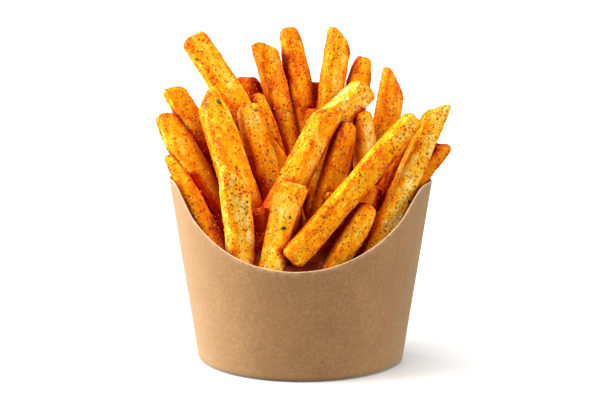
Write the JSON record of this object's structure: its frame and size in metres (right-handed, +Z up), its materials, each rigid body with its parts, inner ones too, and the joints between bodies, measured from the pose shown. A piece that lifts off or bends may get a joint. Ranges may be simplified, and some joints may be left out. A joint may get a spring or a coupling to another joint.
{
  "type": "french fries in a carton",
  "caption": "Thick-cut seasoned fries heaped upright in a plain kraft board carton with bowed panels, side folds and a scooped front rim.",
  "frame": {"origin": "centre of the carton's flat base, on the plane it stands on", "axes": "+Z up, -Y towards the scooped front panel, X through the two side folds"},
  "size_m": [0.1189, 0.0866, 0.131],
  "materials": {
    "board": "matt uncoated kraft board",
    "potato": "fried golden, with browned edges and red seasoning"
  },
  "bodies": {
    "root": {"carton": "board", "fries": "potato"}
  },
  "joints": []
}
